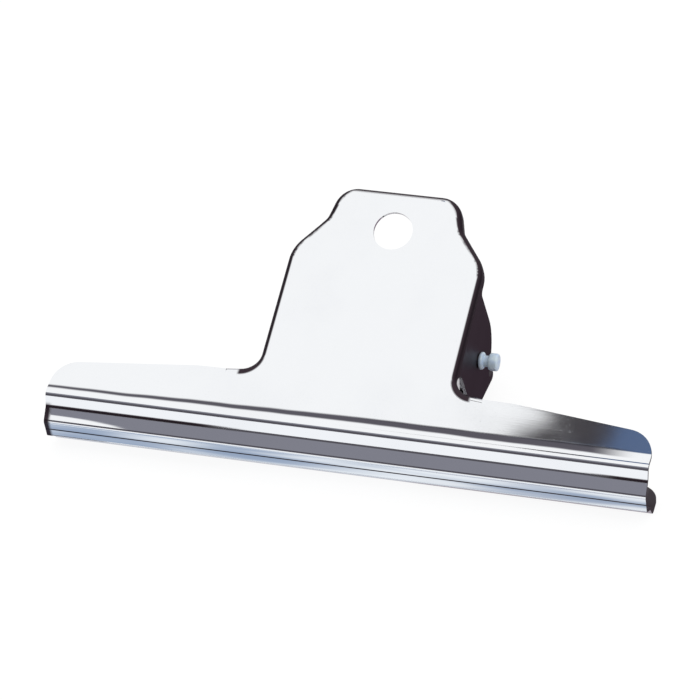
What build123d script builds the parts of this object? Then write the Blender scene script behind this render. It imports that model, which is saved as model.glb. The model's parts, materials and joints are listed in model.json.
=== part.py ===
"""Wide bulldog clip: two stamped plates on a pivot pin, held shut by a torsion spring.

The clip lies on its back, with X along the grip bar, Y from the jaws to the handles and Z up.
A plate is drawn in its own frame: x along the bar, y up the plate from the bead line and z
outwards, with the outer skin at z = 0. It then leans away from the clip's middle plane. In the
clip's frame y is the height above the jaw lips and z the distance in front of that plane.
"""

import math
import os

from build123d import *

# Sheet metal
SHEET = 0.8
BEND_RADIUS = 1.5

# Stance of the plates on the middle plane
LEAN = 14.0
BEAD_OFFSET = 7.9
LIP_GAP = 0.1

# Grip bar, seen from the front
BAR_LENGTH = 145.0
BAR_END_RADIUS = 6.5
BAR_MIDDLE_HEIGHT = 13.8
BAR_END_HEIGHT = 6.4

# Jaw section, from the bead down to the lip
BEAD_START = 0.6
BEAD_RISE = 0.95
BEAD_RISE_LENGTH = 2.9
BEAD_FLANK_LENGTH = 3.7
BEAD_FLANK_ANGLE = 53.0
BEAD_RADIUS = 2.0
SOFT_CREASE_RADIUS = 6.0
CREASE_RADIUS = 1.5
FACET_LENGTH = 3.8
FACET_ANGLE = 25.0
LIP_RADIUS = 1.2

# Handle, measured over its rim; drops are taken from its top
HANDLE_WIDTH = 47.6
HANDLE_HEIGHT = 61.4
SHOULDER_DROP = 16.6
SHOULDER_RADIUS = 9.0
NECK_WIDTH = 33.5
NECK_DROP = 7.9
NECK_RADIUS = 4.5
TOP_WIDTH = 29.1
TOP_RADIUS = 5.7
FLARE_RADIUS = 4.5
FLARE_END = 31.0
FLARE_ROOT = 6.0
FLARE_FADE = 7.0
FLARE_STEP = 0.6
CURL_GAP = 0.5
CURL_RADIUS = 70.0
RIM_DEPTH = 3.0
HOLE_DIAMETER = 9.5
HOLE_DROP = 10.1

# Ears, which overlap in pairs and carry the pin
PIVOT_DROP = 33.2
EAR_RADIUS = 11.0
EAR_CROTCH_RADIUS = 1.2
EAR_FOOT_RADIUS = 4.0
NEST_CLEARANCE = 0.2

# Pivot pin, with a plain head on the left and a waisted end on the right
PIN_DIAMETER = 2.8
PIN_CLEARANCE = 0.05
PIN_END_PLAY = 0.1
HEAD_DIAMETER = 4.2
HEAD_LENGTH = 2.3
HEAD_ROUND = 0.5
COLLAR_LENGTH = 1.1
WAIST_DIAMETER = 2.7
WAIST_LENGTH = 1.2

# Torsion spring
WIRE_DIAMETER = 1.6
COIL_DIAMETER = 7.0
COIL_LEAD = 2.3
COIL_TURNS = 10
SPRING_SEAT = 0.05
LEG_DROP = 23.5
LEG_BEND_RADIUS = 5.0
LEG_RUN = 5.5
GAP_STEPS = 24

# Reach of the solids that only cut
FAR = 90.0

LEAN_COS = math.cos(math.radians(LEAN))
LEAN_SIN = math.sin(math.radians(LEAN))


def polar(angle):
    """Unit step down the plate that turns inwards by an angle in degrees."""
    return Vector(-math.cos(math.radians(angle)), -math.sin(math.radians(angle)))


def jaw_corners():
    """Corners of the jaw's outer line in the plate's y and z, from the bar's top to the lip."""
    start = Vector(BAR_MIDDLE_HEIGHT + BEND_RADIUS, 0)
    crease = Vector(BEAD_START, 0)
    crest = crease + Vector(-BEAD_RISE_LENGTH, BEAD_RISE)
    foot = crest + polar(BEAD_FLANK_ANGLE) * BEAD_FLANK_LENGTH
    corner = foot + polar(FACET_ANGLE) * FACET_LENGTH
    reach = BEAD_OFFSET + corner.X * LEAN_SIN + corner.Y * LEAN_COS - LIP_GAP / 2
    lip = corner + polar(90 - LEAN) * reach
    return [start, crease, crest, foot, corner, lip]


JAW = jaw_corners()
BEAD_HEIGHT = JAW[-1].Y * LEAN_SIN - JAW[-1].X * LEAN_COS
PIVOT_Y = HANDLE_HEIGHT - PIVOT_DROP
PIVOT_RISE = (PIVOT_Y + BEAD_OFFSET * LEAN_SIN) / LEAN_COS
PIVOT_Z = -PIVOT_RISE * LEAN_SIN - BEAD_OFFSET * LEAN_COS
PIVOT_HEIGHT = BEAD_HEIGHT + PIVOT_RISE
LEG_HEIGHT = HANDLE_HEIGHT - LEG_DROP
NEST = SHEET + NEST_CLEARANCE
CURL_START = PIVOT_Y + EAR_RADIUS + EAR_CROTCH_RADIUS + CURL_GAP
CURL_END = HANDLE_HEIGHT + BEND_RADIUS
SHOULDER_HEIGHT = HANDLE_HEIGHT - SHOULDER_DROP
NECK_HEIGHT = HANDLE_HEIGHT - NECK_DROP
HOLE_HEIGHT = HANDLE_HEIGHT - HOLE_DROP


def bar_top(x):
    """Height of the bar's top edge at a distance x from the middle."""
    return BAR_MIDDLE_HEIGHT - (BAR_MIDDLE_HEIGHT - BAR_END_HEIGHT) * x / (BAR_LENGTH / 2)


def curl_rise(y, depth=0.0):
    """Outward rise of the handle's curl at height y, on a surface a depth below the skin."""
    run = max(y - CURL_START, 0.0)
    return CURL_RADIUS - math.sqrt((CURL_RADIUS + depth) ** 2 - run**2)


def curl_line(depth):
    """The curl's arc on a surface a depth below the skin, from its start past the handle's top."""
    radius = CURL_RADIUS + depth
    sweep_angle = math.degrees(math.asin((CURL_END - CURL_START) / radius))
    return CenterArc((CURL_START, CURL_RADIUS), radius, -90, sweep_angle)


def across(section):
    """Sweep a section in the plate's y and z along the whole length of the bar."""
    return extrude(Plane.YZ * section, FAR, both=True)


def rounded(sketch, corners):
    """Round each named corner of a sketch, given as a point and a radius."""
    for point, radius in corners:
        vertex = sketch.vertices().sort_by_distance(Vector(*point))[0]
        sketch = fillet(vertex, radius)
    return sketch


def both_sides(points):
    """A closed outline from the points of its right half, listed upwards."""
    left = [(-x, y) for x, y in reversed(points)]
    return make_face(Polyline(*points, *left, close=True))


def handle_outline():
    """The handle's outline over its rim, down to its flared foot in the bar."""
    half = HANDLE_WIDTH / 2
    end = FLARE_END + BEND_RADIUS
    foot = (half, bar_top(half))
    shoulder = (half, SHOULDER_HEIGHT)
    neck = (NECK_WIDTH / 2, NECK_HEIGHT)
    top = (TOP_WIDTH / 2, HANDLE_HEIGHT)
    flare = (end, bar_top(end))
    root = (end, bar_top(end) - FLARE_ROOT - BEND_RADIUS)
    face = both_sides([root, flare, foot, shoulder, neck, top])
    rounds = [
        (foot, FLARE_RADIUS),
        (shoulder, SHOULDER_RADIUS),
        (neck, NECK_RADIUS),
        (top, TOP_RADIUS),
    ]
    return rounded(face, rounds + [((-x, y), radius) for (x, y), radius in rounds])


def under_skin(depth):
    """All that lies more than a depth below the plate's outer skin, curl included."""
    end = (CURL_END, curl_rise(CURL_END, depth))
    skin = [
        Line((-FAR, -depth), (CURL_START, -depth)),
        curl_line(depth),
        Polyline(end, (CURL_END, -FAR), (-FAR, -FAR), (-FAR, -depth)),
    ]
    return across(make_face(Curve() + skin))


def pressed_block(outline, depth, radius):
    """A block below the skin with the handle's bend rolled along its upper edge."""
    block = extrude(outline, FAR, both=True) & under_skin(depth)
    lowest = outline.bounding_box().min.Y
    widest = outline.bounding_box().max.X

    def on_bend(edge):
        middle = edge @ 0.5
        on_skin = all(abs((edge @ t).Z - curl_rise((edge @ t).Y, depth)) < 1e-4 for t in (0, 0.5, 1))
        seam = abs(middle.X) < 1e-4 and abs(middle.Y - CURL_START) < 1e-4
        inside = middle.Y > lowest + 1e-4 and abs(middle.X) < widest - 1e-4
        return on_skin and inside and not seam

    return fillet(block.edges().filter_by(on_bend), radius)


def behind_flange():
    """What is cut away behind the rim and round the ears, as a section along the bar."""
    low = PIVOT_Y - EAR_RADIUS
    high = PIVOT_Y + EAR_RADIUS
    foot = low - EAR_FOOT_RADIUS
    crotch = high + EAR_CROTCH_RADIUS
    end = (CURL_END, curl_rise(CURL_END, RIM_DEPTH))
    line = [
        Line((-FAR, -SHEET), (foot, -SHEET)),
        RadiusArc((foot, -SHEET), (low, -SHEET - EAR_FOOT_RADIUS), EAR_FOOT_RADIUS),
        Line((low, -SHEET - EAR_FOOT_RADIUS), (low, PIVOT_Z)),
        ThreePointArc((low, PIVOT_Z), (PIVOT_Y, PIVOT_Z - EAR_RADIUS), (high, PIVOT_Z)),
        Line((high, PIVOT_Z), (high, -RIM_DEPTH - EAR_CROTCH_RADIUS)),
        RadiusArc((high, -RIM_DEPTH - EAR_CROTCH_RADIUS), (crotch, -RIM_DEPTH), EAR_CROTCH_RADIUS),
        Line((crotch, -RIM_DEPTH), (CURL_START, -RIM_DEPTH)),
        curl_line(RIM_DEPTH),
        Polyline(end, (CURL_END, -FAR), (-FAR, -FAR), (-FAR, -SHEET)),
    ]
    return across(make_face(Curve() + line))


def grip_bar():
    """The long bar with its bead, jaw facet and lip."""
    radii = [SOFT_CREASE_RADIUS, BEAD_RADIUS, CREASE_RADIUS, LIP_RADIUS]
    outer = FilletPolyline(*[(p.X, p.Y) for p in JAW], radius=radii)
    section = make_face(offset(outer, SHEET, side=Side.LEFT))
    end = (BAR_LENGTH / 2, BAR_END_HEIGHT)
    fade = (FLARE_END + FLARE_FADE, bar_top(FLARE_END + FLARE_FADE))
    flare = (FLARE_END, bar_top(FLARE_END) - FLARE_STEP)
    root = (FLARE_END, bar_top(FLARE_END) - FLARE_ROOT)
    outline = both_sides([(BAR_LENGTH / 2, -FAR), end, fade, flare, root])
    corners = [(end, BAR_END_RADIUS), ((-end[0], end[1]), BAR_END_RADIUS)]
    return across(section) & extrude(rounded(outline, corners), FAR, both=True)


def stamped_plate(inset):
    """One plate, its handle drawn in by an inset so that ears can nest."""
    face = handle_outline()
    sharp = Kind.INTERSECTION
    outer = pressed_block(offset(face, -inset, kind=sharp), 0.0, BEND_RADIUS)
    within = offset(face, -inset - SHEET, kind=sharp)
    inner = pressed_block(within, SHEET, BEND_RADIUS - SHEET)
    handle = outer - inner - behind_flange()
    curl = math.degrees(math.asin((HOLE_HEIGHT - CURL_START) / CURL_RADIUS))
    hole_place = Pos(0, HOLE_HEIGHT, curl_rise(HOLE_HEIGHT)) * Rot(X=curl)
    hang_hole = hole_place * Cylinder(HOLE_DIAMETER / 2, 8 * SHEET)
    pin_hole = Cylinder(PIN_DIAMETER / 2 + PIN_CLEARANCE, FAR)
    pin_holes = Pos(0, PIVOT_Y, PIVOT_Z) * Rot(Y=90) * pin_hole
    plate = handle + grip_bar() - hang_hole - pin_holes
    return Pos(0, BEAD_HEIGHT, BEAD_OFFSET) * Rot(X=LEAN) * plate


def pivot_pin():
    """The pin, turned about X: a plain head on the left, a collar and waisted head on the right."""
    body = PIN_DIAMETER / 2
    cap = HEAD_DIAMETER / 2
    waist = WAIST_DIAMETER / 2
    seat = HANDLE_WIDTH / 2 + PIN_END_PLAY
    collar = seat + COLLAR_LENGTH
    head = collar + WAIST_LENGTH
    end = head + HEAD_LENGTH
    left = [(-seat - HEAD_LENGTH, cap), (-seat, cap), (-seat, body)]
    right = [(seat, body), (seat, cap), (collar, cap), (collar, waist)]
    right += [(head, waist), (head, cap), (end, cap)]
    half = make_face(Polyline((left[0][0], 0), *left, *right, (end, 0), close=True))
    half = rounded(half, [(point, HEAD_ROUND) for point in left + right if point[1] == cap])
    return Pos(0, PIVOT_HEIGHT, 0) * revolve(half, Axis.X)


def biarc(start, start_way, end, end_way):
    """Two tangent arcs from start to end that leave and arrive along the given ways."""
    chord = end - start
    ways = start_way + end_way
    spread = 4 - ways.dot(ways)
    along = chord.dot(ways)
    step = (math.sqrt(along**2 + spread * chord.dot(chord)) - along) / spread
    first = start + start_way * step
    second = end - end_way * step
    joint = (first + second) / 2
    return [
        TangentArc(start, joint, tangent=start_way),
        TangentArc(joint, end, tangent=second - first),
    ]


def spring_path():
    """The spring's wire line, from the tip on the front handle to the tip on the rear one."""
    coil = COIL_DIAMETER / 2
    slope = COIL_LEAD / (math.pi * COIL_DIAMETER)
    drop = coil - (WIRE_DIAMETER + PIN_DIAMETER) / 2 - SPRING_SEAT
    centre = PIVOT_HEIGHT - drop
    leg_depth = SHEET + SPRING_SEAT + WIRE_DIAMETER / 2
    leg_y = BEAD_HEIGHT + LEG_HEIGHT * LEAN_COS + leg_depth * LEAN_SIN - centre
    leg_z = BEAD_OFFSET + LEG_HEIGHT * LEAN_SIN - leg_depth * LEAN_COS
    reach = math.hypot(leg_y, leg_z)
    first = math.atan2(leg_z, leg_y) + math.acos(coil / reach)
    sweep_angle = 2 * math.pi * COIL_TURNS - 2 * first
    half_length = COIL_LEAD * sweep_angle / (4 * math.pi)

    def on_coil(angle):
        x = COIL_LEAD * angle / (2 * math.pi) - half_length
        turn = first + angle
        point = Vector(x, centre + coil * math.cos(turn), coil * math.sin(turn))
        return point, Vector(slope, -math.sin(turn), math.cos(turn)).normalized()

    halves = round(sweep_angle / math.pi)
    stations = [on_coil(sweep_angle * i / halves) for i in range(halves + 1)]
    turns = [arc for a, b in zip(stations, stations[1:]) for arc in biarc(*a, *b)]

    start, way = stations[0]
    leg_length = math.sqrt(reach**2 - coil**2) * math.hypot(1, slope)
    corner = start - way * leg_length
    along_handle = Vector(0, LEAN_COS, LEAN_SIN)
    bend = math.radians(along_handle.get_angle(way * -1))
    trim = LEG_BEND_RADIUS * math.tan(bend / 2)
    bend_end = corner + along_handle * trim
    bend_start = corner + way * trim
    tip = bend_end + along_handle * LEG_RUN
    front = [
        Line(tip, bend_end),
        TangentArc(bend_end, bend_start, tangent=along_handle * -1),
        Line(bend_start, start),
    ]

    def turned(point):
        return Vector(-point.X, point.Y, -point.Z)

    rear = [
        Line(turned(start), turned(bend_start)),
        TangentArc(turned(bend_start), turned(bend_end), tangent=turned(way * -1)),
        Line(turned(bend_end), turned(tip)),
    ]
    return Wire(front + turns + rear)


def least_gap(path):
    """Smallest clear gap between the wire and itself, measured on points along it."""
    edges = path.edges()
    points = [edge @ (i / GAP_STEPS) for edge in edges for i in range(GAP_STEPS)]
    near = WIRE_DIAMETER * 3
    lengths = [0.0]
    for a, b in zip(points, points[1:]):
        lengths.append(lengths[-1] + (b - a).length)
    gaps = [
        (points[j] - points[i]).length
        for i in range(len(points))
        for j in range(i + 1, len(points))
        if lengths[j] - lengths[i] > near
    ]
    return min(gaps) - WIRE_DIAMETER


def torsion_spring(path):
    """The spring's wire, swept as one tube along its line."""
    start = Plane(origin=path @ 0, z_dir=path % 0)
    return sweep(start * Circle(WIRE_DIAMETER / 2), path=path)


def lying_angle():
    """Angle at which the rear plate rests on its bead and on the top of its handle."""
    crest = JAW[2]
    rise = (crest - JAW[1]).normalized()
    fall = (JAW[3] - crest).normalized()
    half_turn = math.radians(rise.get_angle(fall)) / 2
    bead = crest + (fall - rise).normalized() * (BEAD_RADIUS / math.cos(half_turn))
    top_y = HANDLE_HEIGHT - BEND_RADIUS - NEST
    top = Vector(top_y, curl_rise(top_y, BEND_RADIUS))
    span = top - bead
    slant = math.atan2(span.Y, span.X) + math.asin((BEND_RADIUS - BEAD_RADIUS) / span.length)
    return LEAN + math.degrees(slant)


path = spring_path()
nodes = {
    "front_plate": stamped_plate(0.0),
    "rear_plate": mirror(stamped_plate(NEST), about=Plane.XY),
    "pivot_pin": pivot_pin(),
    "torsion_spring": torsion_spring(path),
}
lie = Rot(X=lying_angle())
box = Compound(children=[lie * shape for shape in nodes.values()]).bounding_box()
place = Pos(-box.center().X, -box.center().Y, -box.min.Z) * lie

os.makedirs("parts", exist_ok=True)
for name, shape in nodes.items():
    export_step(place * shape, f"parts/{name}.step")

pivot = (place * Pos(0, PIVOT_HEIGHT, 0)).position
print(f"least gap of the spring to itself: {least_gap(path):.2f} mm")
print(f"pivot axis at y {pivot.Y:.3f}, z {pivot.Z:.3f} mm")
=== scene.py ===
"""Wide bulldog clip, dressed for its picture: bright plated plates, zinc pin, drawn-wire spring."""

import json
import logging
import math
from dataclasses import dataclass
from enum import Enum

import bpy
import numpy as np
from mathutils import Euler, Matrix


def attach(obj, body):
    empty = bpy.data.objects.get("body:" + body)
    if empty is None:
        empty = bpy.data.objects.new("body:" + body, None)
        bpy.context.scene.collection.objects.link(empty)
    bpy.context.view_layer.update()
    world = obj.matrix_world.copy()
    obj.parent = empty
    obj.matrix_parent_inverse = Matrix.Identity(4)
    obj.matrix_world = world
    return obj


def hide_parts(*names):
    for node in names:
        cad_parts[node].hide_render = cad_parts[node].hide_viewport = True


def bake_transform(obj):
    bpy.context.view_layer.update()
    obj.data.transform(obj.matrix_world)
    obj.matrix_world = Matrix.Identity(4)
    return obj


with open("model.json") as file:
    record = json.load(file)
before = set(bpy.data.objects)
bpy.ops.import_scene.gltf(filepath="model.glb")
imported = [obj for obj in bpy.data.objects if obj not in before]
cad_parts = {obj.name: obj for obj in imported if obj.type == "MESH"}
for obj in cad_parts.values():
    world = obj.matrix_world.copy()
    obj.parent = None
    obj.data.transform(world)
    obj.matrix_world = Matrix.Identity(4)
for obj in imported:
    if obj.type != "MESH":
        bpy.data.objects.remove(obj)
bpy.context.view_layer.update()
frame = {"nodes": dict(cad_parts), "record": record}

MM = 0.001

# Metres that a turned profile creeps along its axis, so that a straight step still has a way.
CREEP = 1e-7

# Degrees: how far the clip leans back where it lies, and half the angle between its handles.
LIE = 15.609073
SPREAD = 14.0

# The unit way through the lips, from the rear plate to the front one, and how many metres along
# it from the origin the lips part.
THROUGH = (0.0, -math.sin(math.radians(LIE)), math.cos(math.radians(LIE)))
PARTING = 0.015401

log = logging.getLogger("bulldog_clip")

Colour = tuple[float, float, float, float]
Vector = tuple[float, float, float]

# Where a mask goes from 0 to 1, and a band's low end, high end and soft width.
Span = tuple[float, float]
Band = tuple[float, float, float]


class Body(Enum):
    """The clip's two moving bodies."""

    REAR = "rear"
    FRONT = "front"


class Slot(Enum):
    """The record's material slots for the pin and the spring; the plates keep their own."""

    PIN_ZINC = "pin_zinc"
    SPRING_WIRE = "spring_wire"


class Signal:
    """A shader socket that grows Math nodes when it stands in an expression."""

    def __init__(self, bench: "Bench", socket: bpy.types.NodeSocket) -> None:
        """Keep the socket and the bench that it belongs to."""
        self.bench = bench
        self.socket = socket

    def maths(self, operation: str, first: "Signal | float", second: "Signal | float") -> "Signal":
        """One Math node on two values."""
        return self.bench.node("ShaderNodeMath", {"operation": operation}, {0: first, 1: second})

    def __add__(self, other: "Signal | float") -> "Signal":
        """This plus another value."""
        return self.maths("ADD", self, other)

    __radd__ = __add__

    def __mul__(self, other: "Signal | float") -> "Signal":
        """This times another value."""
        return self.maths("MULTIPLY", self, other)

    __rmul__ = __mul__

    def __sub__(self, other: "Signal | float") -> "Signal":
        """This less another value."""
        return self.maths("SUBTRACT", self, other)

    def __rsub__(self, other: "Signal | float") -> "Signal":
        """Another value less this."""
        return self.maths("SUBTRACT", other, self)

    def __abs__(self) -> "Signal":
        """This without its sign."""
        return self.maths("ABSOLUTE", self, 0.0)

    def __or__(self, other: "Signal | float") -> "Signal":
        """The larger of this and another value, as two masks are joined."""
        return self.maths("MAXIMUM", self, other)


class Bench:
    """A node tree with the few tools that the finishes are built from."""

    def __init__(self, tree: bpy.types.NodeTree) -> None:
        """Clear the tree and keep it."""
        self.tree = tree
        tree.nodes.clear()

    def node(self, kind: str, settings: dict | None = None, sockets: dict | None = None,
             out: int | str = 0) -> Signal:
        """Add one node.

        Args:
            kind: The node's type name.
            settings: Attributes of the node, which are set first.
            sockets: Values or signals for its inputs, by name or number.
            out: The output to hand back.

        Returns:
            The chosen output, or for a node without one its first input.
        """
        made = self.tree.nodes.new(kind)
        for key, value in (settings or {}).items():
            setattr(made, key, value)
        for key, value in (sockets or {}).items():
            if isinstance(value, Signal):
                self.tree.links.new(value.socket, made.inputs[key])
            else:
                made.inputs[key].default_value = value
        return Signal(self, made.outputs[out] if made.outputs else made.inputs[0])

    def place(self, kind: str = "Object") -> Signal:
        """A texture coordinate."""
        return self.node("ShaderNodeTexCoord", out=kind)

    def stretched(self, vector: Signal, scales: Vector) -> Signal:
        """A coordinate scaled by its own factor on each axis."""
        return self.node("ShaderNodeVectorMath", {"operation": "MULTIPLY"}, {0: vector, 1: scales})

    def parts(self, vector: Signal) -> tuple[Signal, Signal, Signal]:
        """A vector's three components."""
        split = self.node("ShaderNodeSeparateXYZ", {}, {0: vector})
        outputs = split.socket.node.outputs
        return Signal(self, outputs[0]), Signal(self, outputs[1]), Signal(self, outputs[2])

    def along(self, vector: Signal, way: Vector) -> Signal:
        """How far a vector reaches along a unit way."""
        return self.node("ShaderNodeVectorMath", {"operation": "DOT_PRODUCT"},
                         {0: vector, 1: way}, "Value")

    def away(self, vector: Signal, point: Vector) -> Signal:
        """The distance of a point of the surface from a fixed one."""
        return self.node("ShaderNodeVectorMath", {"operation": "DISTANCE"},
                         {0: vector, 1: point}, "Value")

    def noise(self, vector: Signal, scale: float = 1.0, detail: float = 2.0,
              rough: float = 0.5) -> Signal:
        """Fractal noise about one half."""
        return self.node("ShaderNodeTexNoise", {},
                         {"Vector": vector, "Scale": scale, "Detail": detail, "Roughness": rough})

    def ease(self, value: Signal, low: float, high: float) -> Signal:
        """A smooth step that goes from 0 at low to 1 at high; low may be the larger."""
        flip = low > high
        ends = {"From Min": min(low, high), "From Max": max(low, high),
                "To Min": float(flip), "To Max": float(not flip)}
        return self.node("ShaderNodeMapRange", {"interpolation_type": "SMOOTHSTEP"},
                         {"Value": value, **ends})

    def band(self, value: Signal, low: float, high: float, soft: float) -> Signal:
        """One between low and high, falling smoothly to 0 over a soft width outside them."""
        return self.ease(value, low - soft, low) * self.ease(value, high + soft, high)

    def tint(self, mask: Signal, first: "Signal | Colour", second: "Signal | Colour") -> Signal:
        """A colour that goes from the first to the second as the mask rises."""
        return self.node("ShaderNodeMix", {"data_type": "RGBA"},
                         {0: mask, 6: first, 7: second}, out=2)

    def bump(self, height: Signal, distance: float, under: Signal | None = None) -> Signal:
        """A bumped normal, over an earlier one where that is given."""
        sockets: dict = {"Height": height, "Distance": distance, "Strength": 1.0}
        if under:
            sockets["Normal"] = under
        return self.node("ShaderNodeBump", {}, sockets)


def new_material(name: str) -> tuple[bpy.types.Material, Bench]:
    """A new material and the bench for its nodes."""
    material = bpy.data.materials.new(name)
    material.use_nodes = True
    return material, Bench(material.node_tree)


def finish_metal(bench: Bench, colour: Signal, roughness: Signal, normal: Signal,
                 metallic: float = 1.0) -> None:
    """Close a metal's nodes with its shader.

    Args:
        bench: The material's bench.
        colour: The metal's colour over the surface.
        roughness: Its roughness over the surface.
        normal: Its bumped normal.
        metallic: How much of it is bare metal; a chalky bloom on the plating lowers it.
    """
    shader = bench.node("ShaderNodeBsdfPrincipled", {}, {
        "Base Color": colour, "Metallic": metallic, "Roughness": roughness, "Normal": normal})
    bench.node("ShaderNodeOutputMaterial", {}, {"Surface": shader})


@dataclass(frozen=True)
class Stance:
    """How a plate stands in the resting clip.

    Attributes:
        slope: The handle's angle above level, in degrees.
        outwards: 1 for the front plate and -1 for the rear one.
        crease: How far up the handle's way the crease above the bead lies, in metres.
        bar_top: How far up the bar's top edge lies beside the handle.
        crown: How far up the handle's top edge lies.
        hole: The record's name for the hang hole.
    """

    slope: float
    outwards: float
    crease: float
    bar_top: float
    crown: float
    hole: str

    @property
    def up(self) -> Vector:
        """The unit way up the handle."""
        return 0.0, math.cos(math.radians(self.slope)), math.sin(math.radians(self.slope))

    @property
    def hole_middle(self) -> Vector:
        """The middle of the hang hole, from the record."""
        mounts = {mount["name"]: mount["pos_m"] for mount in frame["record"]["mounts"]}
        return tuple(mounts[self.hole])


class PlateFace:
    """The places and directions on one plate that its finish is drawn by."""

    outer_turn: Span = (0.0, 0.3)

    def __init__(self, bench: Bench, stance: Stance) -> None:
        """Set up the signals on a material's bench."""
        self.bench = bench
        self.place, facing = bench.place(), bench.place("Normal")
        height = bench.along(self.place, stance.up)
        self.above_crease = height - stance.crease
        self.above_bar = height - stance.bar_top
        self.above_crown = height - stance.crown
        self.along, _, _ = bench.parts(self.place)
        self.aside = abs(self.along)
        self.from_hole = bench.away(self.place, stance.hole_middle)
        self.from_parting = abs(bench.along(self.place, THROUGH) - PARTING)
        sideways, _, _ = bench.parts(facing)
        self.sideways = abs(sideways)
        self.upwards = bench.along(facing, stance.up)
        self.outwards = bench.along(facing, THROUGH) * stance.outwards
        self.outside = bench.ease(self.outwards, *self.outer_turn)


@dataclass(frozen=True)
class ShadedPlaces:
    """Painted shade, with raised roughness: the rim, the ears, sheared edges and tight corners are
    darkened in the colour.

    A span holds the two values between which a mask goes from 0 to 1. Spans of place are in
    metres, and spans of turn are shares of the surface's unit normal.
    """

    rim_turn: Span = (0.08, 0.3)
    edge_turn: Span = (0.15, 0.45)
    edge_rise: Span = (0.0, 0.002)
    edge_end: Span = (0.0282, 0.0272)
    crown_drop: Span = (-0.0016, -0.0008)
    hole_edge: Span = (0.005, 0.0056)
    foot_side: float = 0.0283
    foot_rise: float = 0.0095
    foot_edge: Span = (0.0059, 0.0054)
    foot_end: Span = (0.0284, 0.0276)
    foot_top: Span = (0.010, 0.0085)
    lip_edge: Span = (0.0003, 0.0001)
    left_end: Span = (-0.0707, -0.0717)
    left_drop: Span = (-0.0045, -0.0055)
    seam_drop: float = -0.00537
    seam_edge: Span = (0.0004, 0.0002)
    seam_left: Span = (-0.02, -0.035)
    seam_right: Span = (0.055, 0.066)

    def rim(self, face: PlateFace) -> Signal:
        """Painted shade on the rolled rim and the ears, and on the handle's upper edges, but not on
        the hole's edge.
        """
        ease = face.bench.ease
        edges = ease(face.upwards, *self.edge_turn) * ease(face.above_bar, *self.edge_rise)
        edges = edges * ease(face.aside, *self.edge_end)
        crown = ease(face.above_crown, *self.crown_drop)
        rim = ease(face.sideways, *self.rim_turn) | edges | crown
        return rim * ease(face.from_hole, *self.hole_edge)

    def foot(self, face: PlateFace) -> Signal:
        """Painted shade that thickens the foot of the rim: the part of a disc set in the flare that
        lies on the plate.
        """
        ease = face.bench.ease
        side, rise = face.aside - self.foot_side, face.above_bar - self.foot_rise
        outer, inner = self.foot_edge
        disc = ease(side * side + rise * rise, outer**2, inner**2)
        return disc * ease(face.aside, *self.foot_end) * ease(face.above_bar, *self.foot_top)

    def bar(self, face: PlateFace) -> Signal:
        """Painted shade on the lips' sheared edges, the bar's left end and both ends of the seam
        over the facet.
        """
        ease = face.bench.ease
        lips = ease(face.from_parting, *self.lip_edge)
        left = ease(face.along, *self.left_end) * ease(face.above_crease, *self.left_drop)
        seam = ease(abs(face.above_crease - self.seam_drop), *self.seam_edge)
        seam_ends = ease(face.along, *self.seam_left) | ease(face.along, *self.seam_right)
        return lips | left | seam * seam_ends

    def mask(self, face: PlateFace) -> Signal:
        """All the places of painted shade."""
        return self.rim(face) | self.foot(face) | self.bar(face)


@dataclass(frozen=True)
class CreaseShade:
    """A painted shade line along the crease above the bead, on the outside, with raised roughness.

    It wavers, sags to the left, broadens to the right and dies out before the right end.
    """

    # Painted shade: the line's dark colour.
    colour: Colour = (0.10, 0.095, 0.115, 1.0)
    roughness: float = 0.1
    edge: Span = (0.00105, 0.00045)
    ripples: Vector = (45.0, 0.0, 0.0)
    waver: float = 0.0009
    sag: float = 0.0165
    spread: float = 0.005
    end: Span = (0.070, 0.058)

    def mask(self, face: PlateFace) -> Signal:
        """The painted shade line itself."""
        bench = face.bench
        waver = (bench.noise(bench.stretched(face.place, self.ripples)) - 0.5) * self.waver
        sag = (face.along * -self.sag) | 0.0
        from_line = abs(face.above_crease + sag + waver) - face.along * self.spread
        return bench.ease(from_line, *self.edge) * face.outside * bench.ease(face.along, *self.end)


@dataclass(frozen=True)
class SatinInside:
    """The plate's inside: satin where it lies open, with painted shade in the throat and beside the
    ears.
    """

    satin: Colour = (0.74, 0.735, 0.75, 1.0)
    # Painted shade in the throat and in the crotch beside the ears.
    throat_shade: Colour = (0.06, 0.05, 0.058, 1.0)
    turn: Span = (-0.25, -0.5)
    throat_top: Span = (-0.0015, 0.0015)
    crotch: Band = (0.0212, 0.0255, 0.0005)
    crotch_rise: Span = (-0.002, 0.0)
    bar_end: Span = (0.0705, 0.064)

    def mask(self, face: PlateFace) -> Signal:
        """Where the surface faces into the clip."""
        return face.bench.ease(face.outwards, *self.turn)

    def colour(self, face: PlateFace) -> Signal:
        """The inside's colour, with painted shade in the throat and in the crotch beside the ears.
        """
        bench = face.bench
        crotch = bench.band(face.aside, *self.crotch)
        crotch = crotch * bench.ease(face.above_bar, *self.crotch_rise)
        lit = bench.ease(face.above_crease, *self.throat_top) * (1.0 - crotch)
        return bench.tint(lit * bench.ease(face.aside, *self.bar_end), self.throat_shade, self.satin)


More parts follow.
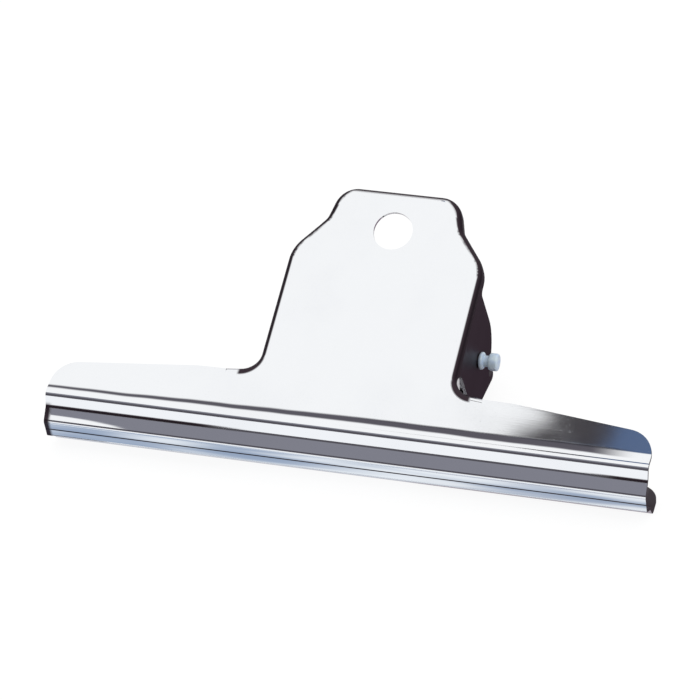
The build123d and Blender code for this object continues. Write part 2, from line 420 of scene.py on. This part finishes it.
@dataclass(frozen=True)
class PressedSheet:
    """What pressing leaves in the sheet: long low swells and two shallow bends.

    The bends are under 0.4 mm and only turn what the plate mirrors. Each rises as curve * d**2
    with the depth d below its start: one over the crease, one over the facet's foot on the left.
    """

    swells: Vector = (18.0, 60.0, 60.0)
    swell_height: float = 0.00025
    run_out: float = 0.008
    run_out_curve: float = 5.0
    facet_foot: float = -0.0082
    lift: float = 0.0018
    lift_curve: float = 55.0
    lift_left: Span = (-0.038, -0.075)

    @staticmethod
    def depth(height: Signal, start: float) -> Signal:
        """How deep a height lies below its start, counted down to height 0 and no further."""
        return (start - (height | 0.0)) | 0.0

    def normal(self, face: PlateFace) -> Signal:
        """The sheet's bumped normal."""
        bench = face.bench
        swells = bench.noise(bench.stretched(face.place, self.swells), detail=1.0)
        fall = self.depth(face.above_crease, self.run_out)
        lift = self.depth(face.above_crease - self.facet_foot, self.lift)
        lifted = lift * lift * self.lift_curve * bench.ease(face.along, *self.lift_left)
        bends = (fall * fall * self.run_out_curve + lifted) * face.outside
        return bench.bump(bends, 1.0, bench.bump(swells, self.swell_height))


@dataclass(frozen=True)
class BrightPlate:
    """Bright nickel-chrome plate: polished, hazed in patches, with specks and polishing lines."""

    clear: Colour = (0.90, 0.915, 0.935, 1.0)
    hazed: Colour = (0.86, 0.875, 0.90, 1.0)
    # Painted shade: the dark colour of the rim, the ears, sheared edges and seam ends.
    painted_shade: Colour = (0.050, 0.035, 0.044, 1.0)
    polish: float = 0.03
    dullness: float = 0.4
    patch_scale: float = 55.0
    patch_edge: Span = (0.42, 0.72)
    patch_haze: float = 0.5
    patch_roughness: float = 0.025
    speck_scale: float = 2400.0
    speck_edge: Span = (0.66, 0.8)
    speck_haze: float = 0.3
    speck_roughness: float = 0.05
    lines: Vector = (90.0, 2600.0, 2600.0)
    line_roughness: float = 0.014
    line_height: float = 0.0000015
    places: ShadedPlaces = ShadedPlaces()
    crease_shade: CreaseShade = CreaseShade()
    inside: SatinInside = SatinInside()
    sheet: PressedSheet = PressedSheet()

    def material(self, name: str, stance: Stance) -> bpy.types.Material:
        """Build one plate's material.

        Args:
            name: The material's name.
            stance: How the plate stands.

        Returns:
            The material.
        """
        made, bench = new_material(name)
        face = PlateFace(bench, stance)
        dull_and_shaded, crease_shade = self.places.mask(face), self.crease_shade.mask(face)
        inside = self.inside.mask(face)
        patches = bench.noise(face.place, self.patch_scale, detail=3.0)
        patches = bench.ease(patches, *self.patch_edge)
        specks = bench.noise(face.place, self.speck_scale, detail=1.0)
        specks = bench.ease(specks, *self.speck_edge)
        lines = bench.noise(bench.stretched(face.place, self.lines), rough=0.6)
        haze = patches * self.patch_haze + specks * self.speck_haze
        colour = bench.tint(haze, self.clear, self.hazed)
        # Painted shade along the crease.
        colour = bench.tint(crease_shade, colour, self.crease_shade.colour)
        # Painted shade in the inside's throat and crotch.
        colour = bench.tint(inside, colour, self.inside.colour(face))
        # Painted shade on the rim, the ears, sheared edges and seam ends.
        colour = bench.tint(dull_and_shaded, colour, self.painted_shade)
        roughness = self.polish + patches * self.patch_roughness + specks * self.speck_roughness
        roughness = roughness + lines * self.line_roughness + crease_shade * self.crease_shade.roughness
        roughness = roughness + (dull_and_shaded | inside) * self.dullness
        normal = bench.bump(lines, self.line_height, self.sheet.normal(face))
        finish_metal(bench, colour, roughness, normal)
        return made


@dataclass(frozen=True)
class SatinZinc:
    """Pale blue zinc plate on a turned pin: satin, clouded, with turning lines round it."""

    pale: Colour = (0.78, 0.91, 1.0, 1.0)
    cloud: Colour = (0.64, 0.79, 1.0, 1.0)
    satin: float = 0.3
    bare: float = 0.2
    cloud_scale: float = 700.0
    cloud_edge: Span = (0.35, 0.7)
    cloud_roughness: float = 0.15
    rings: Vector = (9000.0, 250.0, 250.0)
    ring_roughness: float = 0.1
    ring_height: float = 0.000006

    def material(self) -> bpy.types.Material:
        """Build the pin's material from clouds over the zinc and fine rings along the pin."""
        made, bench = new_material("satin_zinc")
        place = bench.place()
        clouds = bench.noise(place, self.cloud_scale, detail=4.0, rough=0.6)
        clouds = bench.ease(clouds, *self.cloud_edge)
        rings = bench.noise(bench.stretched(place, self.rings), detail=1.0)
        colour = bench.tint(clouds, self.pale, self.cloud)
        roughness = self.satin + clouds * self.cloud_roughness + rings * self.ring_roughness
        finish_metal(bench, colour, roughness, bench.bump(rings, self.ring_height), self.bare)
        return made


@dataclass(frozen=True)
class DrawnWire:
    """Drawn spring wire: grey steel with die lines along it and a thin film of oil."""

    bright: Colour = (0.74, 0.745, 0.76, 1.0)
    dark: Colour = (0.46, 0.455, 0.46, 1.0)
    sheen: float = 0.22
    lines: Vector = (40.0, 60.0, 1.0)
    line_shade: float = 0.3
    line_roughness: float = 0.2
    line_height: float = 0.000012
    film_scale: float = 260.0
    film_edge: Span = (0.4, 0.7)
    film_shade: float = 0.6
    film_roughness: float = 0.1

    def material(self) -> bpy.types.Material:
        """Build the wire's material; its map runs along the wire and round it."""
        made, bench = new_material("drawn_wire")
        lines = bench.stretched(bench.place("UV"), self.lines)
        lines = bench.noise(lines, detail=3.0, rough=0.7)
        film = bench.noise(bench.place(), self.film_scale, detail=3.0)
        film = bench.ease(film, *self.film_edge)
        shade = film * self.film_shade + lines * self.line_shade
        colour = bench.tint(shade, self.bright, self.dark)
        roughness = self.sheen + lines * self.line_roughness + film * self.film_roughness
        finish_metal(bench, colour, roughness, bench.bump(lines, self.line_height))
        return made


def unit(vector: np.ndarray) -> np.ndarray:
    """A vector, or each row of vectors, at length 1."""
    return vector / np.maximum(np.linalg.norm(vector, axis=-1, keepdims=True), 1e-12)


def rounded_line(corners: np.ndarray, radii: list[float], steps: int) -> np.ndarray:
    """Round the inner corners of a line.

    Each corner is replaced by an arc that touches both runs. With unit ways a and b into and
    out of the corner, the arc leaves the first run r*tan(turn/2) before the corner, and its
    points are that start plus r*(sin f * a + (1 - cos f) * side) for f from 0 to the turn.

    Args:
        corners: Points of the line, one per row.
        radii: Radius at each inner corner.
        steps: Points on each arc.

    Returns:
        The rounded line's points.
    """
    pieces = [corners[:1]]
    for before, corner, after, radius in zip(corners, corners[1:], corners[2:], radii):
        way_in, way_out = unit(corner - before), unit(after - corner)
        turn = math.acos(float(np.clip(way_in @ way_out, -1.0, 1.0)))
        side = unit(way_out - way_in * (way_in @ way_out))
        angle = np.linspace(0.0, turn, steps)[:, None]
        start = corner - way_in * radius * math.tan(turn / 2)
        pieces.append(start + radius * (np.sin(angle) * way_in + (1 - np.cos(angle)) * side))
    return np.concatenate(pieces + [corners[-1:]])


def ring_points(centres: np.ndarray, radii: np.ndarray, sides: int) -> np.ndarray:
    """Set a circle square to a path at each of its points.

    With unit tangent t, the circle stands on p = g - (g.t)t and q = t cross p, so each point is
    centre + radius * (cos f * p + sin f * q). The guide g is X, or Z where the path runs along X.

    Args:
        centres: Path points, one per row.
        radii: Radius at each path point.
        sides: Points round the circle.

    Returns:
        The first centre, the points of each circle between, and the last centre.
    """
    way = unit(np.gradient(centres, axis=0))
    runs_along_x = np.abs(way[:, :1]) > 0.99
    guide = np.where(runs_along_x, np.array([0.0, 0.0, 1.0]), np.array([1.0, 0.0, 0.0]))
    first = unit(guide - np.sum(guide * way, axis=1, keepdims=True) * way)
    second = np.cross(way, first)
    angle = np.linspace(0.0, 2 * np.pi, sides, endpoint=False)[None, :, None]
    ring = np.cos(angle) * first[:, None] + np.sin(angle) * second[:, None]
    grid = centres[:, None] + radii[:, None, None] * ring
    return np.concatenate([centres[:1], grid[1:-1].reshape(-1, 3), centres[-1:]])


def ring_faces(rows: int, sides: int) -> tuple[np.ndarray, np.ndarray]:
    """The faces of a stack of rings whose first and last points are its closed poles.

    Args:
        rows: Rings between the poles.
        sides: Points on each ring.

    Returns:
        The triangles of both ends, and the quads between the rings.
    """
    j = np.arange(sides)
    k = (j + 1) % sides
    last = 1 + (rows - 1) * sides
    near = np.stack([np.zeros(sides, int), 1 + k, 1 + j], axis=-1)
    far = np.stack([np.full(sides, last + sides), last + j, last + k], axis=-1)
    low = 1 + np.arange(rows - 1)[:, None] * sides
    high = low + sides
    quads = np.stack([low + j, low + k, high + k, high + j], axis=-1).reshape(-1, 4)
    return np.concatenate([near, far]), quads


def ring_surface(name: str, centres: np.ndarray, radii: np.ndarray,
                 sides: int) -> bpy.types.Object:
    """Carry a circle along a path, with its radius changing on the way, and close both ends.

    The map runs along the path in u, in widths of the circle, and round it in v.

    Args:
        name: The piece's name.
        centres: Path points in metres, one per row, never running along X unless straight.
        radii: Radius at each path point, with 0 at both poles.
        sides: Points round the circle.

    Returns:
        The new piece, its place in its mesh.
    """
    rows = len(centres) - 2
    ends, quads = ring_faces(rows, sides)
    mesh = bpy.data.meshes.new(name)
    points = ring_points(centres, radii, sides)
    mesh.from_pydata(points.tolist(), [], ends.tolist() + quads.tolist())
    steps = np.linalg.norm(np.diff(centres, axis=0), axis=1)
    run = np.concatenate([[0.0], np.cumsum(steps)]) / (2 * float(radii.max()))
    row = np.concatenate([[0], np.repeat(np.arange(1, rows + 1), sides), [rows + 1]])
    turn = np.concatenate([[0.0], np.tile(np.arange(sides) / sides, rows), [0.0]])
    corner = np.concatenate([ends.ravel(), quads.ravel()])
    flat = np.stack([run[row[corner]], turn[corner]], axis=-1)
    closing = (quads - 1) % sides == 0
    closing[:, [0, 3]] = False
    flat[ends.size:][closing.ravel(), 1] = 1.0
    mesh.uv_layers.new(name="along").data.foreach_set("uv", flat.ravel())
    mesh.polygons.foreach_set("use_smooth", np.ones(len(mesh.polygons), dtype=bool))
    mesh.update()
    piece = bpy.data.objects.new(name, mesh)
    bpy.context.scene.collection.objects.link(piece)
    return piece


def turned_surface(name: str, centres: np.ndarray, radii: np.ndarray,
                   sides: int) -> bpy.types.Object:
    """A solid of revolution about a line along X, from a profile that may step straight outwards.

    Args:
        name: The piece's name.
        centres: Points on the axis in metres, one per row of the profile.
        radii: Radius at each, with 0 at both poles.
        sides: Points round the axis.

    Returns:
        The new piece, its place in its mesh.
    """
    creep = np.linspace(0.0, CREEP, len(centres))[:, None] * np.array([1.0, 0.0, 0.0])
    piece = ring_surface(name, centres + creep, radii, sides)
    keep = piece.modifiers.new("flat_faces", "WEIGHTED_NORMAL")
    keep.weight = 100
    return piece


@dataclass
class StampedPlates:
    """The front and rear plates: long beaded bar, waisted handle with a rolled rim, and ears."""

    front: Stance = Stance(slope=LIE + SPREAD, outwards=1.0, crease=-0.01733, bar_top=-0.0130,
                           crown=0.043324, hole="hang_hole_front")
    rear: Stance = Stance(slope=LIE - SPREAD, outwards=-1.0, crease=-0.02478, bar_top=-0.0205,
                          crown=0.034872, hole="hang_hole_rear")
    finish: BrightPlate = BrightPlate()

    def dress(self) -> list[bpy.types.Object]:
        """Give both plates their bright finish."""
        plates = []
        for name, stance in (("front_plate", self.front), ("rear_plate", self.rear)):
            plate = frame["nodes"][name]
            plate.material_slots[0].link = "OBJECT"
            plate.material_slots[0].material = self.finish.material(f"bright_{name}", stance)
            plates.append(plate)
        return plates


@dataclass
class PivotPin:
    """The pin through the ears, turned about X; lengths and radii in millimetres."""

    seat: float = 23.9
    body: float = 1.4
    cap: float = 2.1
    head: float = 2.3
    collar: float = 1.1
    waist: float = 1.35
    waist_length: float = 1.2
    edge: float = 0.5
    root: float = 0.12
    sides: int = 48
    corner_steps: int = 7
    finish: SatinZinc = SatinZinc()

    def profile(self) -> np.ndarray:
        """The pin's outline as x and radius, from its left pole to its right one."""
        collar_end = self.seat + self.collar
        neck_end = collar_end + self.waist_length
        end = neck_end + self.head
        left = -self.seat - self.head
        corners = np.array([
            (left, 0.0), (left, self.cap), (-self.seat, self.cap), (-self.seat, self.body),
            (self.seat, self.body), (self.seat, self.cap), (collar_end, self.cap),
            (collar_end, self.waist), (neck_end, self.waist), (neck_end, self.cap),
            (end, self.cap), (end, 0.0)])
        radii = [self.edge if corner[1] == self.cap else self.root for corner in corners[1:-1]]
        return rounded_line(corners, radii, self.corner_steps)

    def build(self, pivot: np.ndarray) -> bpy.types.Object:
        """Turn the profile about the pivot axis.

        Args:
            pivot: A point on the pivot axis, in metres.

        Returns:
            The pin, which stands for the solid one.
        """
        outline = self.profile() * MM
        centres = pivot + outline[:, :1] * np.array([1.0, 0.0, 0.0])
        pin = turned_surface("turned_pin", centres, outline[:, 1], self.sides)
        pin.data.materials.append(self.finish.material())
        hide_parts("pivot_pin")
        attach(pin, Body.REAR.value)
        return pin


@dataclass
class TorsionSpring:
    """The spring on the pin: a long coil with a leg under each handle; lengths in millimetres.

    The corner where each leg bends lies leg_up and leg_out from the coil's axis, measured along
    and square to the way that the clip leans.
    """

    wire: float = 1.6
    coil: float = 3.5
    lead: float = 2.3
    turns: int = 10
    drop: float = 1.25
    leg_up: float = 7.390384
    leg_out: float = 15.467852
    bend: float = 5.0
    leg_run: float = 5.5
    end_round: float = 0.25
    sides: int = 18
    turn_steps: int = 30
    bend_steps: int = 12
    end_steps: int = 5
    finish: DrawnWire = DrawnWire()

    def line(self) -> np.ndarray:
        """The wire's middle line about the coil's axis.

        The coil is a helix, x = lead * a / 2 pi less half its length, with y and z on a circle.
        Each leg leaves it along the tangent, turns through one arc and runs up its handle. The
        rear leg is the front one turned half round the clip's upright axis.

        Returns:
            Points in millimetres, from the tip on the front handle to the tip on the rear one.
        """
        slope = self.lead / (2 * math.pi * self.coil)
        reach = math.hypot(self.leg_up, self.leg_out)
        first = math.atan2(self.leg_out, self.leg_up) + math.acos(self.coil / reach)
        sweep = 2 * math.pi * self.turns - 2 * first
        angle = np.linspace(0.0, sweep, self.turn_steps * self.turns)
        turn = first + angle
        helix = np.stack([self.lead * (angle - sweep / 2) / (2 * math.pi),
                          self.coil * np.cos(turn), self.coil * np.sin(turn)], axis=-1)
        way = np.array([slope, -math.sin(first), math.cos(first)])
        corner = helix[0] - way * math.sqrt(reach**2 - self.coil**2)
        lean = math.radians(SPREAD)
        up = np.array([0.0, math.cos(lean), math.sin(lean)])
        half = math.acos(float(-up @ unit(way))) / 2
        tip = corner + up * (self.leg_run + self.bend * math.tan(half))
        bent = rounded_line(np.stack([tip, corner, helix[0]]), [self.bend], self.bend_steps)
        leg = bent[:-1]
        rear = leg[::-1] * np.array([-1.0, 1.0, -1.0])
        return np.concatenate([leg, helix, rear])

    def rounded_ends(self, line: np.ndarray) -> tuple[np.ndarray, np.ndarray]:
        """Round off the cut ends of the wire.

        Args:
            line: The wire's middle line, in millimetres.

        Returns:
            The line with the extra points that its ends need, and the wire's radius at each.
        """
        radius = self.wire / 2
        angle = np.linspace(0.0, np.pi / 2, self.end_steps)
        fall = (self.end_round * (1 - np.cos(angle)))[:, None]
        cap = radius - self.end_round + self.end_round * np.sin(angle)
        head = line[0] + fall * unit(line[1] - line[0])
        tail = (line[-1] - fall * unit(line[-1] - line[-2]))[::-1]
        centres = np.concatenate([line[:1], head, line[1:-1], tail, line[-1:]])
        full = np.full(len(line) - 2, radius)
        return centres, np.concatenate([[0.0], cap, full, cap[::-1], [0.0]])

    def build(self, pivot: np.ndarray) -> bpy.types.Object:
        """Carry the wire's circle along its line.

        Args:
            pivot: A point on the pivot axis, in metres.

        Returns:
            The spring, which stands for the solid one.
        """
        lie = math.radians(LIE)
        turn = np.array([[1.0, 0.0, 0.0], [0.0, math.cos(lie), -math.sin(lie)],
                         [0.0, math.sin(lie), math.cos(lie)]])
        line = (self.line() + np.array([0.0, -self.drop, 0.0])) @ turn.T
        centres, radii = self.rounded_ends(line)
        spring = ring_surface("coiled_spring", pivot + centres * MM, radii * MM, self.sides)
        spring.data.materials.append(self.finish.material())
        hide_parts("torsion_spring")
        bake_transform(spring)
        return spring


@dataclass(frozen=True)
class PaleFloor:
    """The floor: white to the eye but for the clip's shadow, and patterned where it is mirrored.

    The plate mirrors blue and pale streaks in front of the lips, a paler floor further ahead, and a
    painted shadow of the clip: a grey floor under it and a dark patch beside the right ear. Spans
    are in metres.
    """

    half: float = 3.0
    pale: Colour = (0.92, 0.92, 0.92, 1.0)
    shaded: Colour = (0.16, 0.16, 0.16, 1.0)
    glow: Colour = (0.88, 0.88, 0.88, 1.0)
    streaks: Vector = (14.0, 260.0, 1.0)
    streak_edge: Span = (0.38, 0.58)
    blue_streak: Colour = (0.34, 0.42, 0.56, 1.0)
    pale_streak: Colour = (0.90, 0.94, 0.98, 1.0)
    ahead: Colour = (0.97, 0.98, 1.0, 1.0)
    ahead_edge: Span = (-0.046, -0.062)
    # Painted shadow of the clip on the floor, seen only in reflections: grey under the clip, dark
    # beside the right ear.
    under: Colour = (0.60, 0.58, 0.60, 1.0)
    under_front: Span = (-0.034, -0.026)
    under_back: Span = (0.5, 0.25)
    beside_shadow: Colour = (0.20, 0.145, 0.19, 1.0)
    beside_width: Band = (0.022, 0.075, 0.012)
    beside_depth: Band = (-0.02, 0.1, 0.02)

    def mirrored(self, bench: Bench) -> Signal:
        """The colour that the plate mirrors in the floor."""
        place = bench.place()
        x, y, _ = bench.parts(place)
        streaks = bench.ease(bench.noise(bench.stretched(place, self.streaks)) + x,
                             *self.streak_edge)
        colour = bench.tint(streaks, self.blue_streak, self.pale_streak)
        colour = bench.tint(bench.ease(y, *self.ahead_edge), colour, self.ahead)
        # Painted shadow under and beside the clip.
        under = bench.ease(y, *self.under_front) * bench.ease(y, *self.under_back)
        colour = bench.tint(under, colour, self.under)
        beside_shadow = bench.band(x, *self.beside_width) * bench.band(y, *self.beside_depth)
        return bench.tint(beside_shadow, colour, self.beside_shadow)

    def material(self) -> bpy.types.Material:
        """Build the floor's material: one face to the eye, one to mirrored rays, one to light."""
        made, bench = new_material("pale_floor")
        pale = bench.node("ShaderNodeBsdfDiffuse", {}, {"Color": self.pale})
        shaded = bench.node("ShaderNodeBsdfDiffuse", {}, {"Color": self.shaded})
        glow = bench.node("ShaderNodeEmission", {}, {"Color": self.glow})
        seen = bench.node("ShaderNodeAddShader", {}, {0: shaded, 1: glow})
        echo = bench.node("ShaderNodeEmission", {}, {"Color": self.mirrored(bench)})
        glossy = bench.node("ShaderNodeLightPath", out="Is Glossy Ray")
        camera = bench.node("ShaderNodeLightPath", out="Is Camera Ray")
        lit = bench.node("ShaderNodeMixShader", {}, {0: camera, 1: pale, 2: seen})
        both = bench.node("ShaderNodeMixShader", {}, {0: glossy, 1: lit, 2: echo})
        bench.node("ShaderNodeOutputMaterial", {}, {"Surface": both})
        return made

    def build(self) -> None:
        """Lay the floor under the clip."""
        half = self.half
        mesh = bpy.data.meshes.new("floor")
        corners = [(-half, -half, 0.0), (half, -half, 0.0), (half, half, 0.0), (-half, half, 0.0)]
        mesh.from_pydata(corners, [], [(0, 1, 2, 3)])
        mesh.materials.append(self.material())
        floor = bpy.data.objects.new("floor", mesh)
        bpy.context.scene.collection.objects.link(floor)


@dataclass(frozen=True)
class Tent:
    """The surroundings: a white tent with the dark gaps that give the plate its lines.

    A direction's tilt is its angle from straight up towards the front, in degrees, and its side
    is its X. Boards across the front darken the bead's edges and the facet. A slanting blind,
    brown and then blue, is what the right wing mirrors.
    """

    white: Colour = (1.0, 1.0, 1.0, 1.0)
    back_wall: Colour = (0.62, 0.61, 0.63, 1.0)
    back_tilts: Band = (-130.0, -52.0, 4.0)
    side_wall: Colour = (0.22, 0.22, 0.24, 1.0)
    right_wall: Span = (0.3, 0.95)
    left_wall: Span = (-0.42, -0.95)
    board_sides: Band = (-0.55, 0.1, 0.15)
    grey_board: Colour = (0.23, 0.23, 0.27, 1.0)
    grey_tilts: Band = (47.0, 60.0, 3.0)
    black_board: Colour = (0.09, 0.085, 0.10, 1.0)
    black_tilts: Band = (62.0, 92.0, 3.0)
    blind_brown: Colour = (0.055, 0.05, 0.055, 1.0)
    blind_blue: Colour = (0.10, 0.15, 0.27, 1.0)
    blind_change: Span = (-0.206, -0.199)
    blind_sides: Band = (-0.25, -0.17, 0.02)
    blind_front: Span = (6.0, 4.0)
    blind_back: Span = (-12.0, -9.0)
    slant_sides: Span = (-0.2375, -0.2035)
    slant_rise: float = 22.0
    slant_edge: Span = (-6.0, -10.0)

    def blind(self, bench: Bench, tilt: Signal, side: Signal) -> Signal:
        """The white tent with the blind in it.

        Args:
            bench: The world's bench.
            tilt: The direction's tilt.
            side: The direction's side.

        Returns:
            The colour seen.
        """
        slant = tilt - bench.ease(side, *self.slant_sides) * self.slant_rise
        mask = bench.ease(slant, *self.slant_edge) * bench.ease(tilt, *self.blind_back)
        mask = mask * bench.ease(tilt, *self.blind_front) * bench.band(side, *self.blind_sides)
        change = bench.ease(side, *self.blind_change)
        return bench.tint(mask, self.white, bench.tint(change, self.blind_brown, self.blind_blue))

    def build(self) -> None:
        """Build the world; only mirrored rays see the gaps, and all others see plain white."""
        world = bpy.data.worlds.new("soft_tent")
        world.use_nodes = True
        bpy.context.scene.world = world
        bench = Bench(world.node_tree)
        side, y, z = bench.parts(bench.place("Generated"))
        turn = bench.node("ShaderNodeMath", {"operation": "ARCTAN2"}, {0: y * -1.0, 1: z})
        tilt = turn * math.degrees(1.0)
        boards = bench.band(side, *self.board_sides)
        colour = self.blind(bench, tilt, side)
        for mask, gap in (
                (bench.band(tilt, *self.back_tilts), self.back_wall),
                (bench.band(tilt, *self.grey_tilts) * boards, self.grey_board),
                (bench.band(tilt, *self.black_tilts) * boards, self.black_board),
                (bench.ease(side, *self.right_wall), self.side_wall),
                (bench.ease(side, *self.left_wall), self.side_wall)):
            colour = bench.tint(mask, colour, gap)
        glossy = bench.node("ShaderNodeLightPath", out="Is Glossy Ray")
        shown = bench.tint(glossy, self.white, colour)
        light = bench.node("ShaderNodeBackground", {}, {"Color": shown})
        bench.node("ShaderNodeOutputWorld", {}, {"Surface": light})


@dataclass
class Studio:
    """The camera where the photograph was taken from, the floor and the surroundings."""

    spot: Vector = (0.242667, -0.749800, 0.488172)
    azimuth: float = 18.4425
    elevation: float = 30.8210
    roll: float = -2.8838
    lens: float = 199.7775
    film_width: float = 36.0
    sight: float = 20.0
    floor: PaleFloor = PaleFloor()
    tent: Tent = Tent()

    def camera(self) -> None:
        """Set the camera at the photograph's place, turn and lens."""
        lens = bpy.data.cameras.new("camera")
        lens.sensor_width = self.film_width
        lens.lens = self.lens
        lens.clip_end = self.sight
        camera = bpy.data.objects.new("camera", lens)
        tip, swing = math.radians(90 - self.elevation), math.radians(self.azimuth)
        aim = Euler((tip, 0.0, swing)).to_matrix()
        aim = aim @ Matrix.Rotation(math.radians(self.roll), 3, "Z")
        camera.matrix_world = Matrix.Translation(self.spot) @ aim.to_4x4()
        bpy.context.scene.collection.objects.link(camera)
        bpy.context.scene.camera = camera

    def build(self) -> None:
        """Set up the camera, the floor and the light."""
        bpy.context.scene.view_settings.view_transform = "Standard"
        self.camera()
        self.floor.build()
        self.tent.build()


def main() -> None:
    """Dress the clip piece by piece and set it in its studio."""
    logging.basicConfig(level=logging.INFO, format="%(name)s: %(message)s")
    pivot = np.array(frame["record"]["behaviour"]["joints"][0]["pos_m"])
    Studio().build()
    for plate in StampedPlates().dress():
        log.info("%s dressed in bright plate", plate.name)
    pin = PivotPin().build(pivot)
    log.info("%s built, %d faces", pin.name, len(pin.data.polygons))
    spring = TorsionSpring().build(pivot)
    log.info("%s built, %d faces", spring.name, len(spring.data.polygons))


if __name__ == "__main__":
    main()
